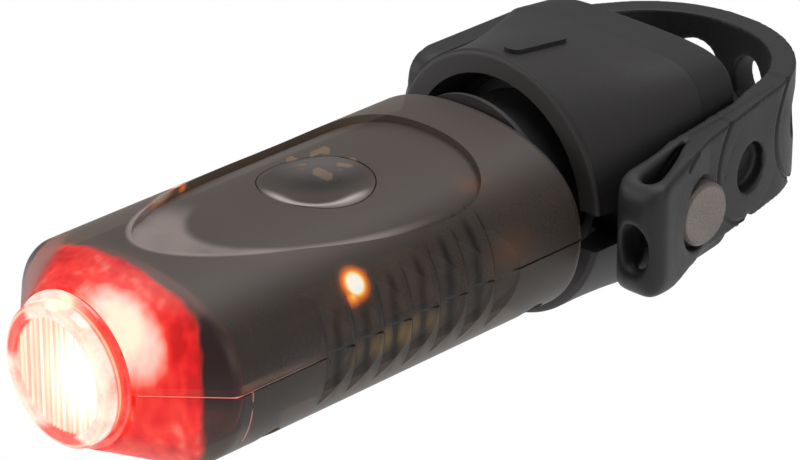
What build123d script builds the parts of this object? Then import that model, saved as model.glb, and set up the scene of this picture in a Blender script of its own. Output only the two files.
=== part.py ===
from build123d import *
import math
import os

# Bicycle tail light with a push-in rubber mount and a ladder strap, in millimetres.
# The origin is the centre of the saddle face that bears on the seat post.
# +Y points to the post, the lamp looks back along -Y, +Z is up and the strap's open stud is on +X.

os.makedirs("parts", exist_ok=True)

# Lamp casing
body_half_width = 19.2
crown_height = 12.2
belly_depth = 14.0
body_fullness = 0.64
shell_length = 59.6
shoulder_length = 8.0
nose_base_radius = 10.4
round_fullness = 0.5523
wall = 1.8
post_root = 0.5
seal_thickness = 0.3
seal_inset = 0.35
shoulder_radius = 2.4
rear_edge_radius = 1.4
fit_gap = 0.15

# Thumb pad, push button and grip ribs on the casing
pad_depth = 1.0
pad_half_width = 15.2
pad_front_gap = 2.7
pad_rear_gap = 8.7
pad_rear_length = 11.3
pad_ramp = 6.5
button_radius = 7.3
button_flange_width = 0.9
button_flange_thickness = 0.8
button_dish_radius = 6.7
button_dish_depth = 1.4
button_dish_drop = 0.4
button_travel = 0.4
button_clearance = 0.2
button_from_rear = 28.2
rib_count = 7
rib_pitch = 4.8
rib_depth = 1.1
rib_reach = 2.0
rib_from_rear = 16.3

# Nose lens and the red optics behind it
nose_height = 3.4
nose_radius = 9.1
nose_flange = 1.9
nose_groove = 0.6
nose_neck_radius = 8.6
nose_chamfer = 0.4
lens_base_radius = 9.9
lens_window_radius = 7.5
lens_window_depth = 0.4
lens_front_wall = 2.2
lens_wall = 1.3
lens_spigot_radius = 8.0
lens_lip_width = 0.7
lens_lip_thickness = 1.0
flute_pitch = 0.6
flute_depth = 0.35
gasket_thickness = 0.5
gasket_inset = 0.3
guide_length = 7.8
reflector_radius = 7.0
reflector_throat = 2.6
reflector_wall = 0.6
reflector_length = 7.0
led_size = 3.4
led_height = 1.0
led_dome_radius = 0.9
led_board_thickness = 1.2
heat_sink_thickness = 2.0
fin_count = 5
fin_height = 2.4
fin_half_span = 5.0
fin_thickness = 1.0
fin_pitch = 3.4
pin_radius = 0.4
pin_x = 3.0

# Electronics
board_half_width = 13.2
board_rear_gap = 5.0
board_thickness = 1.2
board_top = 7.0
board_front_gap = 0.6
board_corner_radius = 2.0
board_post_radius = 1.4
board_post_x = 9.6
board_post_inset = 3.0
board_screw_radius = 0.6
board_screw_length = 2.6
board_screw_head_radius = 1.1
board_screw_head_height = 0.7
switch_size = 4.5
switch_height = 1.0
plunger_radius = 1.0
plunger_length = 0.9
plunger_gap = 0.05
chip_size = 2.6
chip_height = 0.9
chip_x = -8.8
chip_from_rear = 18.7
capacitor_length = 2.6
capacitor_width = 0.9
capacitor_height = 0.7
capacitor_x = 2.4
capacitor_y = 2.1
side_led_from_rear = 35.2
side_led_width = 3.2
side_led_height = 1.6
side_led_depth = 1.3
side_led_overhang = 1.0
side_led_dome = 0.75

# Casing screws and the posts they run through
post_radius = 1.7
boss_radius = 2.6
post_x = 14.6
post_front_inset = 8.4
post_rear_inset = 5.5
screw_radius = 0.9
screw_head_radius = 1.7
screw_head_height = 1.0
screw_head_top = -6.9
screw_length = 11.0
screw_slot_width = 0.5

# Cell and its cradle
cell_width = 24.0
cell_height = 8.6
cell_length = 33.0
cell_top = 1.6
cell_from_rear = 12.5
cell_edge_radius = 2.6
tape_length = 18.0
tape_thickness = 0.2
cradle_gap = 0.1
cradle_wall = 0.9
cradle_depth = 3.6
cradle_floor = 1.0
web_count = 3
web_thickness = 1.2
web_pitch = 12.0
lead_radius = 0.6
lead_spacing = 2.2
lead_bend = 2.0
lead_height = -1.0
plug_x = 2.0
plug_width = 5.0
plug_length = 4.0
plug_height = 2.6
plug_from_rear = 9.0

# Rear stem that plugs into the mount, with the charging port in its end
stem_neck_radius = 9.2
stem_flange_thickness = 1.4
stem_flange_radius = 10.3
stem_collar_radius = 12.4
stem_collar_length = 0.9
stem_lip_radius = 13.1
stem_lip_thickness = 0.6
stem_radius = 11.0
stem_length = 15.0
stem_wall = 1.8
stem_chamfer = 0.6
stem_groove_from_end = 4.5
stem_groove_depth = 0.9
o_ring_radius = 0.43
stem_key_width = 3.0
stem_key_height = 0.8
stem_key_length = 3.0
charge_board_width = 12.0
charge_board_length = 17.0
rail_width = 2.4
port_width = 7.4
port_height = 2.6
port_depth = 5.6
port_wall = 0.3

# Mount housing, bush and saddle
mount_gap = 3.8
mount_length = 27.2
mount_radius = 17.9
mount_side = 18.0
mount_waist_height = 16.6
mount_waist_fullness = 0.68
mount_rear_height = 15.3
mount_rear_fullness = 1.0
mount_rim_radius = 0.7
saddle_half_width = 17.4
saddle_half_height = 14.7
saddle_edge_radius = 1.2
saddle_pad_thickness = 7.4
cup_mouth_radius = 14.8
cup_floor_radius = 13.4
cup_depth = 5.6
bush_wall = 1.4
bush_floor = 1.0
running_gap = 0.06
seat_gap = 0.04
jaw_slot_width = 5.2
jaw_slot_height = -1.5
jaw_slot_length = 7.0
bead_length = 10.5
bead_width = 2.6
bead_height = 0.6
bead_setback = 2.0

# Ladder strap and the studs that hold it
strap_thickness = 3.4
strap_width = 16.0
strap_rise = 1.5
strap_clearance = 0.6
strap_gap = 0.3
loop_x = 1.6
loop_y = 1.2
loop_radius = 17.1
loop_split_angle = 20.0
near_flare = 12.0
near_inner_flare = 15.0
near_kink_y = -13.0
tip_inner_x = 21.3
tip_outer_x = 28.8
tip_front_y = -29.2
tip_corner_radius = 2.7
tip_bridge = 2.4
slit_start_y = -6.2
slit_end_y = -14.0
slit_width = 0.35
slot_width = 2.4
crease_depth = 1.6
crease_end_y = 3.0
tab_top_front = 8.7
tab_low_rear = -6.6
tab_low_waist = -6.2
tab_low_front = -7.6
tab_lobe_y = -24.0
tab_corner_radius = 3.4
far_flare = 33.0
far_end_y = -21.5
hole_radius = 3.4
hole_rise = 2.4
hole_pitch = 13.6
spare_hole_depth = 2.3
loop_hole_start = 38.0
loop_hole_step = 36.0
loop_hole_count = 4
pad_line_radius = 7.0
pad_line_width = 0.3
pad_line_depth = 0.3
tip_hole_width = 4.2
tip_hole_height = 6.2
tip_hole_drop = 0.3
notch_radius = 0.8
notch_lead = 7.3
stud_y = -15.4
stud_shaft_radius = 2.9
stud_head_radius = 4.25
stud_head_height = 1.8
stud_head_chamfer = 0.4
stud_depth = 4.4
stud_seat_x = 23.5
stud_seat_radius = 4.9
stud_boss_radius = 4.8
stud_boss_height = 0.7

# Stations along the lamp's axis, from the nose to the seat post
y_mount = -mount_length
y_rear = y_mount - mount_gap
y_shoulder = y_rear - shell_length
y_nose_base = y_shoulder - shoulder_length
y_nose = y_nose_base - nose_height
y_window = y_nose + lens_window_depth
y_neck = y_nose + nose_flange
y_lens_base = y_nose_base - gasket_thickness
y_front_wall = y_nose_base + wall
y_lip_rear = y_front_wall + lens_lip_thickness
y_led_board = y_lip_rear + guide_length
y_heat_sink = y_led_board + led_board_thickness
y_fins = y_heat_sink + heat_sink_thickness
y_board_front = y_fins + fin_height + board_front_gap
y_inner_rear = y_rear - wall
y_board_rear = y_inner_rear - board_rear_gap
y_button = y_rear - button_from_rear
y_pad_front = y_shoulder + pad_front_gap
y_pad_rear = y_rear - pad_rear_gap
y_pad_wide = y_pad_rear - pad_rear_length
y_lip = y_rear + stem_lip_thickness
y_stem = y_lip + stem_collar_length
y_stem_end = y_stem + stem_length
y_stem_groove = y_stem_end - stem_groove_from_end
y_cup_floor = y_mount + cup_depth
y_bush_floor = y_stem_end + bush_floor
y_post_front = y_shoulder + post_front_inset
y_post_rear = y_rear - post_rear_inset
y_cell_rear = y_rear - cell_from_rear
y_cell_front = y_cell_rear - cell_length
y_cell = (y_cell_rear + y_cell_front) / 2
y_plug = y_rear - plug_from_rear
y_first_rib = y_rear - rib_from_rear
y_spare = stud_y + hole_pitch

# Heights above the lamp's axis
board_base = board_top - board_thickness
button_base = board_top + switch_height + button_travel + button_clearance
cell_base = cell_top - cell_height
cradle_top = cell_base - tape_thickness
cradle_base = cradle_top - cradle_floor
charge_board_top = -port_height / 2
strap_top = strap_rise + strap_width / 2
strap_base = strap_rise - strap_width / 2


def across(y):
    """Plane square to the lamp's axis at a station, facing the nose, with world Z upwards."""
    return Plane.XZ.offset(-y)


def rounded_outline(half_width, crown, belly, fullness):
    """Closed outline of four curves, from an oval at 0.55 to nearly a rectangle at 1.2."""
    side = fullness * half_width
    with BuildLine() as outline:
        Bezier((half_width, 0), (half_width, fullness * crown), (side, crown), (0, crown))
        Bezier((0, crown), (-side, crown), (-half_width, fullness * crown), (-half_width, 0))
        Bezier((-half_width, 0), (-half_width, -fullness * belly), (-side, -belly), (0, -belly))
        Bezier((0, -belly), (side, -belly), (half_width, -fullness * belly), (half_width, 0))
    return outline.line


def body_section(inset):
    """Cross-section of the lamp casing, drawn in by an inset."""
    return rounded_outline(
        body_half_width - inset, crown_height - inset, belly_depth - inset, body_fullness
    )


def lamp_form(inset):
    """Solid of the lamp casing's outside, drawn in all round by an inset."""
    slope = (body_half_width - nose_base_radius) / shoulder_length
    side_gain = inset * (math.hypot(1, slope) - slope)
    with BuildPart() as form:
        with BuildSketch(across(y_nose_base + inset)):
            base_side = nose_base_radius - side_gain
            base_top = nose_base_radius - 0.8 * inset
            add(rounded_outline(base_side, base_top, base_top, round_fullness))
            make_face()
        with BuildSketch(across(y_shoulder + 0.4 * inset)):
            add(body_section(inset))
            make_face()
        loft(ruled=True)
        with BuildSketch(across(y_rear - inset)):
            add(body_section(inset))
            make_face()
        extrude(amount=shell_length - 1.4 * inset)
    return form.part


def mount_form(growth):
    """Solid of the mount housing's outside, from a round mouth to a squarish rear."""
    with BuildPart() as form:
        with BuildSketch(across(y_mount)):
            round_side = mount_radius + growth
            add(rounded_outline(round_side, round_side, round_side, round_fullness))
            make_face()
        with BuildSketch(across((y_mount - saddle_pad_thickness) / 2)):
            waist = mount_waist_height + growth
            add(rounded_outline(mount_side + growth, waist, waist, mount_waist_fullness))
            make_face()
        with BuildSketch(across(-saddle_pad_thickness)):
            rear = mount_rear_height + growth
            add(rounded_outline(mount_side + growth, rear, rear, mount_rear_fullness))
            make_face()
        loft()
    return form.part


def edges_at(part_builder, y):
    """Edges of a part that lie in the plane of one station."""
    return part_builder.edges().filter_by_position(Axis.Y, y - 0.01, y + 0.01)


def block(x_span, y_span, z_span, mode=Mode.ADD):
    """Box between two limits along each axis."""
    middle = (sum(x_span) / 2, sum(y_span) / 2, sum(z_span) / 2)
    with Locations(middle):
        Box(x_span[1] - x_span[0], y_span[1] - y_span[0], z_span[1] - z_span[0], mode=mode)


def round_block(y_span, radius, mode=Mode.ADD):
    """Cylinder about the lamp's axis between two stations."""
    with Locations(Location((0, sum(y_span) / 2, 0), (90, 0, 0))):
        Cylinder(radius, y_span[1] - y_span[0], mode=mode)


def upright(x, y, z_span, radius, mode=Mode.ADD):
    """Upright cylinder at a point, between two heights."""
    with Locations((x, y, sum(z_span) / 2)):
        Cylinder(radius, z_span[1] - z_span[0], mode=mode)


def crosswise(x_span, y, z, radius, mode=Mode.ADD):
    """Cylinder square to the lamp's side, between two distances along X."""
    with Locations(Location((sum(x_span) / 2, y, z), (0, 90, 0))):
        Cylinder(radius, x_span[1] - x_span[0], mode=mode)


def on_loop(radius, angle):
    """Point on a circle about the loop's centre, its angle counted from +X."""
    turn = math.radians(angle)
    return (loop_x + radius * math.cos(turn), loop_y + radius * math.sin(turn))


def facing(point, angle, span, radius, mode=Mode.ADD):
    """Level cylinder that leaves a point at an angle from +X, between two distances from it."""
    turn = math.radians(angle)
    reach = sum(span) / 2
    middle = (point[0] + reach * math.cos(turn), point[1] + reach * math.sin(turn), point[2])
    outward = Plane(origin=middle, z_dir=(math.cos(turn), math.sin(turn), 0))
    with Locations(outward.location):
        Cylinder(radius, span[1] - span[0], mode=mode)


# Casing halves share one outside with softened edges, a cavity, ribs, pad and holes
with BuildPart() as pad_tool:
    with BuildSketch(Plane.XY.offset(board_top)):
        with BuildLine():
            Bezier(
                (0, y_pad_front),
                (0.46 * pad_half_width, y_pad_front),
                (pad_half_width, y_pad_wide - 0.46 * (y_pad_wide - y_pad_front)),
                (pad_half_width, y_pad_wide),
            )
            Bezier(
                (pad_half_width, y_pad_wide),
                (pad_half_width, y_pad_wide + 0.72 * pad_rear_length),
                (0.72 * pad_half_width, y_pad_rear),
                (0, y_pad_rear),
            )
            mirror(about=Plane.YZ)
        make_face()
    extrude(amount=crown_height)
    with BuildSketch(across(y_pad_front)):
        add(body_section(0))
        make_face()
    with BuildSketch(across(y_pad_front + pad_ramp)):
        add(body_section(pad_depth))
        make_face()
    loft(ruled=True, mode=Mode.SUBTRACT)
    with BuildSketch(across(y_pad_rear + wall)):
        add(body_section(pad_depth))
        make_face()
    extrude(amount=y_pad_rear + wall - y_pad_front - pad_ramp, mode=Mode.SUBTRACT)

with BuildPart() as tooth_core:
    with BuildSketch(across(y_first_rib)):
        add(body_section(rib_depth))
        make_face()
    with BuildSketch(across(y_first_rib + rib_pitch)):
        add(body_section(0))
        make_face()
    loft(ruled=True)

with BuildPart() as tooth:
    with BuildSketch(Plane.XY.offset(-belly_depth)):
        tip = body_half_width + fit_gap
        root = body_half_width - rib_reach
        with BuildLine():
            Polyline(
                (tip, y_first_rib), (root, y_first_rib), (tip, y_first_rib + rib_pitch), close=True
            )
        make_face()
        mirror(about=Plane.YZ)
    extrude(amount=belly_depth + crown_height)
    add(tooth_core.part, mode=Mode.SUBTRACT)

with BuildPart() as rib_tool:
    with Locations([(0, -index * rib_pitch, 0) for index in range(rib_count)]):
        add(tooth.part)

with BuildPart() as casing:
    add(lamp_form(0))
    fillet(edges_at(casing, y_shoulder), shoulder_radius)
    fillet(edges_at(casing, y_rear), rear_edge_radius)
    add(lamp_form(wall), mode=Mode.SUBTRACT)
    add(pad_tool.part, mode=Mode.SUBTRACT)
    add(rib_tool.part, mode=Mode.SUBTRACT)
    round_block((y_nose, y_lip_rear), lens_spigot_radius + fit_gap, Mode.SUBTRACT)
    round_block((y_inner_rear - 1, y_rear + 1), stem_neck_radius + fit_gap, Mode.SUBTRACT)

board_post_places = [
    (side * board_post_x, y)
    for side in (1, -1)
    for y in (y_board_front + board_post_inset, y_board_rear - board_post_inset)
]
post_places = [(side * post_x, y) for side in (1, -1) for y in (y_post_front, y_post_rear)]

with BuildPart() as upper_posts:
    for x, y in post_places:
        upright(x, y, (seal_thickness / 2, crown_height), post_radius)
    for x, y in board_post_places:
        upright(x, y, (board_top, crown_height), board_post_radius)
    add(lamp_form(wall - post_root), mode=Mode.INTERSECT)

with BuildPart() as lower_posts:
    for x, y in post_places:
        upright(x, y, (-belly_depth, -seal_thickness / 2), boss_radius)
    for index in range(web_count):
        y_web = y_cell + (index - (web_count - 1) / 2) * web_pitch
        web_span = (y_web - web_thickness / 2, y_web + web_thickness / 2)
        block((-body_half_width, body_half_width), web_span, (-belly_depth, cradle_base))
    add(lamp_form(wall - post_root), mode=Mode.INTERSECT)

with BuildPart() as upper_shell:
    add(casing.part)
    split(bisect_by=Plane.XY.offset(seal_thickness / 2), keep=Keep.TOP)
    add(upper_posts.part)
    button_hole = (button_base + button_flange_thickness, crown_height + 1)
    upright(0, y_button, button_hole, button_radius + fit_gap, Mode.SUBTRACT)
    for x, y in post_places:
        tip_height = screw_head_top + screw_length + 2 * fit_gap
        upright(x, y, (0, tip_height), screw_radius + seat_gap, Mode.SUBTRACT)
    for x, y in board_post_places:
        tip_height = board_base + board_screw_length + fit_gap
        upright(x, y, (board_top - 1, tip_height), board_screw_radius + seat_gap, Mode.SUBTRACT)
upper_shell.part.label = "upper_shell"

with BuildPart() as lower_shell:
    add(casing.part)
    split(bisect_by=Plane.XY.offset(-seal_thickness / 2), keep=Keep.BOTTOM)
    add(lower_posts.part)
    for x, y in post_places:
        upright(x, y, (-belly_depth, 0), screw_radius + fit_gap, Mode.SUBTRACT)
        upright(x, y, (-belly_depth - 1, screw_head_top), screw_head_radius + fit_gap, Mode.SUBTRACT)
lower_shell.part.label = "lower_shell"

with BuildPart() as shell_seal:
    add(lamp_form(seal_inset))
    seal_span = (-seal_thickness / 2, seal_thickness / 2)
    whole_width = (-body_half_width, body_half_width)
    block(whole_width, (y_nose_base, y_rear), seal_span, Mode.INTERSECT)
    add(lamp_form(wall), mode=Mode.SUBTRACT)
    add(rib_tool.part, mode=Mode.SUBTRACT)
    round_block((y_nose, y_lip_rear), lens_spigot_radius + fit_gap, Mode.SUBTRACT)
    round_block((y_inner_rear - 1, y_rear + 1), stem_neck_radius + fit_gap, Mode.SUBTRACT)
shell_seal.part.label = "shell_seal"

with BuildPart() as shell_screws:
    for x, y in post_places:
        upright(x, y, (screw_head_top - screw_head_height, screw_head_top), screw_head_radius)
        upright(x, y, (screw_head_top, screw_head_top + screw_length), screw_radius)
        slot_x = (x - screw_head_radius, x + screw_head_radius)
        slot_y = (y - screw_slot_width / 2, y + screw_slot_width / 2)
        slot_z = (screw_head_top - screw_head_height, screw_head_top - screw_head_height / 2)
        block(slot_x, slot_y, slot_z, Mode.SUBTRACT)
shell_screws.part.label = "shell_screws"

# Nose lens is one turned clear piece that snaps through the front wall, with a fluted window
with BuildPart() as nose_lens:
    with BuildSketch():
        with BuildLine():
            Polyline(
                (0, y_window),
                (lens_window_radius, y_window),
                (lens_window_radius, y_nose),
                (nose_radius - nose_chamfer, y_nose),
                (nose_radius, y_nose + nose_chamfer),
                (nose_radius, y_neck),
                (nose_neck_radius, y_neck),
                (nose_neck_radius, y_neck + nose_groove),
                (lens_base_radius, y_neck + nose_groove),
                (lens_base_radius, y_lens_base),
                (lens_spigot_radius, y_lens_base),
                (lens_spigot_radius, y_front_wall),
                (lens_spigot_radius + lens_lip_width, y_front_wall),
                (lens_spigot_radius + lens_lip_width, y_lip_rear),
                (lens_spigot_radius - lens_wall, y_lip_rear),
                (lens_spigot_radius - lens_wall, y_nose + lens_front_wall),
                (0, y_nose + lens_front_wall),
                close=True,
            )
        make_face()
    revolve(axis=Axis.Y)

with BuildPart() as flute_tool:
    flute_count = 2 * int(lens_window_radius / flute_pitch)
    flute_edge = flute_count * flute_pitch / 2
    flute_points = [(flute_edge, y_nose), (-flute_edge, y_nose)]
    for index in range(flute_count):
        x_flute = -flute_edge + index * flute_pitch
        flute_points.append((x_flute, y_window))
        flute_points.append((x_flute + flute_pitch / 2, y_window + flute_depth))
    flute_points.append((flute_edge, y_window))
    with BuildSketch():
        with BuildLine():
            Polyline(flute_points, close=True)
        make_face()
    extrude(amount=lens_window_radius, both=True)
    round_block((y_nose - 1, y_window + 1), lens_window_radius - fit_gap, Mode.INTERSECT)

with BuildPart() as fluted_lens:
    add(nose_lens.part)
    add(flute_tool.part, mode=Mode.SUBTRACT)
fluted_lens.part.label = "nose_lens"

with BuildPart() as lens_gasket:
    round_block((y_lens_base, y_nose_base), lens_base_radius - gasket_inset)
    round_block((y_nose, y_rear), lens_spigot_radius + fit_gap, Mode.SUBTRACT)
lens_gasket.part.label = "lens_gasket"

# Red light guide, reflector and light source sit between the nose and the finned plate
with BuildPart() as light_guide:
    add(lamp_form(wall + fit_gap))
    whole_height = (-belly_depth, crown_height)
    block(whole_width, (y_lip_rear, y_led_board), whole_height, Mode.INTERSECT)
    round_block((y_nose, y_led_board + 1), reflector_radius + fit_gap, Mode.SUBTRACT)
light_guide.part.label = "light_guide"

with BuildPart() as reflector:
    y_reflector = y_led_board - reflector_length
    with BuildSketch():
        with BuildLine():
            Polyline(
                (reflector_throat, y_led_board),
                (reflector_throat + reflector_wall, y_led_board),
                (reflector_radius, y_reflector + reflector_wall),
                (reflector_radius, y_reflector),
                (reflector_radius - reflector_wall, y_reflector),
                close=True,
            )
        make_face()
    revolve(axis=Axis.Y)
reflector.part.label = "reflector"

with BuildPart() as red_led:
    led_half = led_size / 2
    block((-led_half, led_half), (y_led_board - led_height, y_led_board), (-led_half, led_half))
    with Locations((0, y_led_board - led_height, 0)):
        Sphere(led_dome_radius)
red_led.part.label = "red_led"

with BuildPart() as led_board:
    add(lamp_form(wall + fit_gap))
    block(whole_width, (y_led_board, y_heat_sink), whole_height, Mode.INTERSECT)
led_board.part.label = "led_board"

with BuildPart() as heat_sink:
    add(lamp_form(wall + fit_gap))
    block(whole_width, (y_heat_sink, y_fins), whole_height, Mode.INTERSECT)
    for index in range(fin_count):
        x_fin = (index - (fin_count - 1) / 2) * fin_pitch
        fin_span = (x_fin - fin_thickness / 2, x_fin + fin_thickness / 2)
        block(fin_span, (y_heat_sink, y_fins + fin_height), (-fin_half_span, fin_half_span))
    pin_height = board_top - board_thickness / 2
    for side in (1, -1):
        with Locations(Location((side * pin_x, y_heat_sink, pin_height), (90, 0, 0))):
            Cylinder(pin_radius + 2 * fit_gap, 4 * heat_sink_thickness, mode=Mode.SUBTRACT)
heat_sink.part.label = "heat_sink"

with BuildPart() as led_pins:
    for side in (1, -1):
        y_pin = (y_heat_sink + y_board_front) / 2
        with Locations(Location((side * pin_x, y_pin, pin_height), (90, 0, 0))):
            Cylinder(pin_radius, y_board_front - y_heat_sink)
led_pins.part.label = "led_pins"

# Main board hangs from four short posts under the crown
with BuildPart() as main_board:
    with BuildSketch(Plane.XY.offset(board_base)):
        with Locations((0, (y_board_front + y_board_rear) / 2)):
            board_length = y_board_rear - y_board_front
            RectangleRounded(2 * board_half_width, board_length, board_corner_radius)
        with Locations(board_post_places):
            Circle(board_screw_radius + fit_gap, mode=Mode.SUBTRACT)
    extrude(amount=board_thickness)
main_board.part.label = "main_board"

with BuildPart() as board_screws:
    for x, y in board_post_places:
        upright(x, y, (board_base - board_screw_head_height, board_base), board_screw_head_radius)
        upright(x, y, (board_base, board_base + board_screw_length), board_screw_radius)
board_screws.part.label = "board_screws"

with BuildPart() as control_chip:
    y_chip = y_rear - chip_from_rear
    with BuildSketch(Plane.XY.offset(board_top)):
        with Locations((chip_x, y_chip)):
            Rectangle(chip_size, chip_size)
    extrude(amount=chip_height)
control_chip.part.label = "control_chip"

with BuildPart() as chip_capacitors:
    with BuildSketch(Plane.XY.offset(board_top)):
        for side in (1, -1):
            with Locations((chip_x + side * capacitor_x, y_chip - capacitor_y)):
                Rectangle(capacitor_length, capacitor_width)
            with Locations((chip_x + side * capacitor_x, y_chip + capacitor_y)):
                Rectangle(capacitor_width, capacitor_length)
    extrude(amount=capacitor_height)
chip_capacitors.part.label = "chip_capacitors"

with BuildPart() as tact_switch:
    switch_half = switch_size / 2
    switch_top = board_top + switch_height
    switch_span = (y_button - switch_half, y_button + switch_half)
    block((-switch_half, switch_half), switch_span, (board_top, switch_top))
    well = (board_top + fit_gap, switch_top + 1)
    upright(0, y_button, well, plunger_radius + plunger_gap, Mode.SUBTRACT)
tact_switch.part.label = "tact_switch"

with BuildPart() as switch_plunger:
    upright(0, y_button, (button_base - plunger_length, button_base), plunger_radius)
switch_plunger.part.label = "switch_plunger"

with BuildPart() as push_button:
    upright(0, y_button, (button_base, crown_height), button_radius)
    add(lamp_form(pad_depth), mode=Mode.INTERSECT)
    flange_top = button_base + button_flange_thickness
    upright(0, y_button, (button_base, flange_top), button_radius + button_flange_width)
    dish_radius = (button_dish_radius**2 + button_dish_depth**2) / (2 * button_dish_depth)
    dish_base = crown_height - pad_depth - button_dish_drop - button_dish_depth
    with Locations((0, y_button, dish_base + dish_radius)):
        Sphere(dish_radius, mode=Mode.SUBTRACT)
push_button.part.label = "push_button"

side_leds = []
for side, side_name in ((1, "side_led_right"), (-1, "side_led_left")):
    with BuildPart() as side_led:
        y_led = y_rear - side_led_from_rear
        x_face = side * (board_half_width + side_led_overhang)
        x_back = x_face - side * side_led_depth
        led_x = (min(x_face, x_back), max(x_face, x_back))
        led_y = (y_led - side_led_width / 2, y_led + side_led_width / 2)
        block(led_x, led_y, (board_base - side_led_height, board_base))
        with Locations((x_face, y_led, board_base - side_led_height / 2)):
            Sphere(side_led_dome)
    side_led.part.label = side_name
    side_leds.append(side_led)

# Flat cell in its cradle, with tape round its middle and two leads up to the board
with BuildPart() as battery:
    cell_half = cell_width / 2
    block((-cell_half, cell_half), (y_cell_front, y_cell_rear), (cell_base, cell_top))
    fillet(battery.edges().filter_by(Axis.Y), cell_edge_radius)
battery.part.label = "battery"

with BuildPart() as battery_tape:
    tape_half = cell_half + tape_thickness
    tape_span = (y_cell - tape_length / 2, y_cell + tape_length / 2)
    block((-tape_half, tape_half), tape_span, (cradle_top, cell_top + tape_thickness))
    fillet(battery_tape.edges().filter_by(Axis.Y), cell_edge_radius + tape_thickness)
    add(battery.part, mode=Mode.SUBTRACT)
battery_tape.part.label = "battery_tape"

with BuildPart() as battery_tray:
    tray_half = tape_half + cradle_gap
    y_pocket = (y_cell_front - cradle_gap, y_cell_rear + cradle_gap)
    y_tray = (y_pocket[0] - cradle_wall, y_pocket[1] + cradle_wall)
    tray_top = cradle_top + cradle_depth
    block((-tray_half - cradle_wall, tray_half + cradle_wall), y_tray, (cradle_base, tray_top))
    block((-tray_half, tray_half), y_pocket, (cradle_top, tray_top + 1), Mode.SUBTRACT)
battery_tray.part.label = "battery_tray"

with BuildPart() as battery_connector:
    plug_x_span = (plug_x - plug_width / 2, plug_x + plug_width / 2)
    plug_y_span = (y_plug - plug_length / 2, y_plug + plug_length / 2)
    block(plug_x_span, plug_y_span, (board_base - plug_height, board_base))
battery_connector.part.label = "battery_connector"

leads = []
for side, side_name in ((1, "battery_lead_red"), (-1, "battery_lead_black")):
    lead_x = plug_x + side * lead_spacing / 2
    with BuildPart() as lead:
        with BuildLine() as lead_path:
            FilletPolyline(
                (lead_x, y_cell_rear, lead_height),
                (lead_x, y_plug, lead_height),
                (lead_x, y_plug, board_base - plug_height),
                radius=lead_bend,
            )
        with BuildSketch(Plane(origin=(lead_x, y_cell_rear, lead_height), z_dir=(0, 1, 0))):
            Circle(lead_radius)
        sweep()
    lead.part.label = side_name
    leads.append(lead)

# Rear stem is a turned tube clamped in the rear wall; a key at its foot keeps it from turning
with BuildPart() as rear_stem:
    with BuildSketch():
        with BuildLine():
            y_flange = y_inner_rear - stem_flange_thickness
            y_end_wall = y_stem_end - stem_wall
            groove_half = o_ring_radius + fit_gap
            groove_floor = stem_radius - stem_groove_depth
            bore = stem_neck_radius - stem_wall
            Polyline(
                (0, y_end_wall),
                (0, y_stem_end),
                (stem_radius - stem_chamfer, y_stem_end),
                (stem_radius, y_stem_end - stem_chamfer),
                (stem_radius, y_stem_groove + groove_half),
                (groove_floor, y_stem_groove + groove_half),
                (groove_floor, y_stem_groove - groove_half),
                (stem_radius, y_stem_groove - groove_half),
                (stem_radius, y_stem),
                (stem_collar_radius, y_stem),
                (stem_collar_radius, y_lip),
                (stem_neck_radius, y_lip),
                (stem_neck_radius, y_inner_rear),
                (stem_flange_radius, y_inner_rear),
                (stem_flange_radius, y_flange),
                (bore, y_flange),
                (bore, y_end_wall),
                close=True,
            )
        make_face()
    revolve(axis=Axis.Y)
    key_rear = y_stem_end - stem_chamfer
    key_span = (key_rear - stem_key_length, key_rear)
    key_half = stem_key_width / 2
    block((-key_half, key_half), key_span, (-stem_radius - stem_key_height, -stem_radius + 1))
    rail_top = charge_board_top - board_thickness
    rail_rear = y_end_wall
    rail_front = y_end_wall - charge_board_length
    for side in (1, -1):
        x_inner = side * (charge_board_width / 2 - rail_width / 2)
        x_outer = side * (charge_board_width / 2 + rail_width / 2)
        rail_x = (min(x_inner, x_outer), max(x_inner, x_outer))
        block(rail_x, (rail_front, rail_rear), (rail_top - board_thickness, rail_top))
    port_half_x = port_width / 2 + seat_gap
    port_half_z = port_height / 2 + seat_gap
    port_hole = (y_end_wall - 1, y_stem_end + 1)
    block((-port_half_x, port_half_x), port_hole, (-port_half_z, port_half_z), Mode.SUBTRACT)
rear_stem.part.label = "rear_stem"

with BuildPart() as stem_lip:
    round_block((y_rear, y_lip), stem_lip_radius)
    round_block((y_rear - 1, y_lip + 1), stem_neck_radius, Mode.SUBTRACT)
stem_lip.part.label = "stem_lip"

with BuildPart() as stem_o_ring:
    with BuildSketch():
        with Locations((groove_floor + o_ring_radius, y_stem_groove)):
            Circle(o_ring_radius)
    revolve(axis=Axis.Y)
stem_o_ring.part.label = "stem_o_ring"

with BuildPart() as charge_board:
    board_half = charge_board_width / 2
    block((-board_half, board_half), (rail_front, rail_rear), (rail_top, charge_board_top))
charge_board.part.label = "charge_board"

with BuildPart() as usb_port:
    with BuildSketch(across(y_stem_end)):
        RectangleRounded(port_width, port_height, port_height / 3)
        offset(amount=-port_wall, mode=Mode.SUBTRACT)
    extrude(amount=port_depth)
    with BuildSketch(across(y_stem_end - port_depth)):
        RectangleRounded(port_width, port_height, port_height / 3)
    extrude(amount=port_wall)
usb_port.part.label = "usb_port"

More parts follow.
